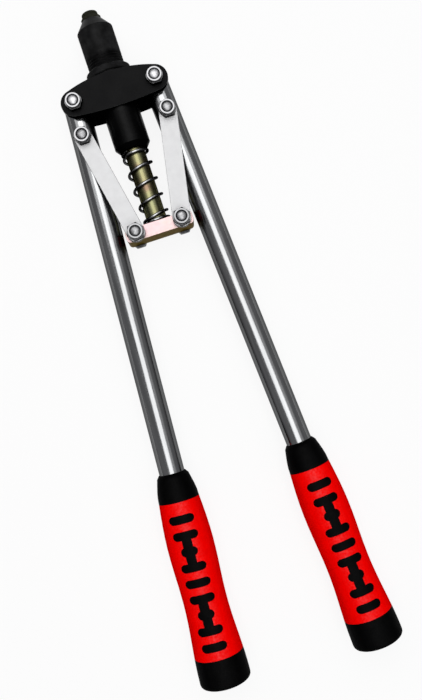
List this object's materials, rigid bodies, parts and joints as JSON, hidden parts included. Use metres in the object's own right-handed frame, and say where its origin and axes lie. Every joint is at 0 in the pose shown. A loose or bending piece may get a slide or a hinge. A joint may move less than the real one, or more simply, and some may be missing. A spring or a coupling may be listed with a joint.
{
  "type": "two-handed riveter",
  "caption": "Two-handed blind riveter with long tubular arms, a toggle linkage round a sprung pull rod, and a nose that grips the rivet's mandrel.",
  "frame": {"origin": "centre of the nosepiece's front face, on the mandrel hole's axis", "axes": "+Y leaves the nose along the mandrel hole, +Z points out of the nut side, +X to the right seen from there; the tool lies flat"},
  "size_m": [0.1288, 0.4297, 0.0367],
  "materials": {
    "black_paint": "satin black paint on a fine cast surface",
    "black_oxide": "black oxide over turned steel",
    "bright_zinc": "bright zinc plate on hexagon fasteners",
    "white_zinc": "pale matte zinc plate on rolled bar",
    "yellow_zinc": "yellow passivated zinc with faint green and pink",
    "spring_steel": "oiled spring wire",
    "tool_steel": "hardened and ground tool steel",
    "chrome": "bright chrome plate",
    "black_rubber": "satin black moulded rubber",
    "red_rubber": "fine grained red moulded rubber"
  },
  "bodies": {
    "head": {"head_casting": "black_paint", "nose_housing": "black_oxide", "housing_lock_ring": "black_oxide", "nosepiece": "black_oxide", "head_pivot_bolt_left": "bright_zinc", "head_pivot_bolt_right": "bright_zinc", "head_pivot_nut_left": "bright_zinc", "head_pivot_nut_right": "bright_zinc", "return_spring": "spring_steel"},
    "pull_rod": {"pull_rod": "yellow_zinc", "crossbar": "yellow_zinc", "crossbar_bolt_left": "bright_zinc", "crossbar_bolt_right": "bright_zinc", "crossbar_nut_left": "bright_zinc", "crossbar_nut_right": "bright_zinc", "jaw_case": "tool_steel", "jaw_case_lock_ring": "tool_steel", "jaw_spring": "spring_steel"},
    "jaws": {"jaw_left": "tool_steel", "jaw_right": "tool_steel", "jaw_pusher": "tool_steel"},
    "left_link": {"left_link_front": "white_zinc", "left_link_rear": "white_zinc", "left_link_bolt": "bright_zinc", "left_link_nut": "bright_zinc", "left_link_washers": "bright_zinc"},
    "left_arm": {"left_arm_tube": "chrome", "left_pivot_bush": "bright_zinc", "left_grip_core": "black_rubber", "left_grip_sleeve": "red_rubber"},
    "right_link": {"right_link_front": "white_zinc", "right_link_rear": "white_zinc", "right_link_bolt": "bright_zinc", "right_link_nut": "bright_zinc", "right_link_washers": "bright_zinc"},
    "right_arm": {"right_arm_tube": "chrome", "right_pivot_bush": "bright_zinc", "right_grip_core": "black_rubber", "right_grip_sleeve": "red_rubber"}
  },
  "joints": [
    {"name": "left_arm_swing", "type": "hinge", "parent": "head", "child": "left_arm", "pos_m": [-0.026, -0.0564, 0], "axis": [0, 0, -1], "range_deg": [0, 55]},
    {"name": "right_arm_swing", "type": "hinge", "parent": "head", "child": "right_arm", "pos_m": [0.026, -0.0564, 0], "axis": [0, 0, 1], "range_deg": [0, 55]},
    {"name": "rod_slide", "type": "slide", "parent": "head", "child": "pull_rod", "axis": [0, 1, 0], "range_m": [0, 0.0144], "stiffness_N_per_m": 7700, "springref_m": -0.004, "deforming": ["return_spring"]},
    {"name": "left_link_swing", "type": "hinge", "parent": "pull_rod", "child": "left_link", "pos_m": [-0.0148, -0.14389, 0], "axis": [0, 0, 1], "range_deg": [0, 14.4]},
    {"name": "right_link_swing", "type": "hinge", "parent": "pull_rod", "child": "right_link", "pos_m": [0.0148, -0.14389, 0], "axis": [0, 0, -1], "range_deg": [0, 14.4]},
    {"name": "jaws_slide", "type": "slide", "parent": "pull_rod", "child": "jaws", "axis": [0, 1, 0], "range_m": [-0.002, 0], "stiffness_N_per_m": 1500, "springref_m": 0.003, "deforming": ["jaw_spring"]}
  ],
  "couplings": [
    {"joint": "right_arm_swing", "follows": "left_arm_swing", "ratio": 1},
    {"joint": "rod_slide", "follows": "left_arm_swing", "m_per_rad": 0.014973},
    {"joint": "left_link_swing", "follows": "left_arm_swing", "ratio": 0.2605},
    {"joint": "right_link_swing", "follows": "left_arm_swing", "ratio": 0.2605}
  ]
}
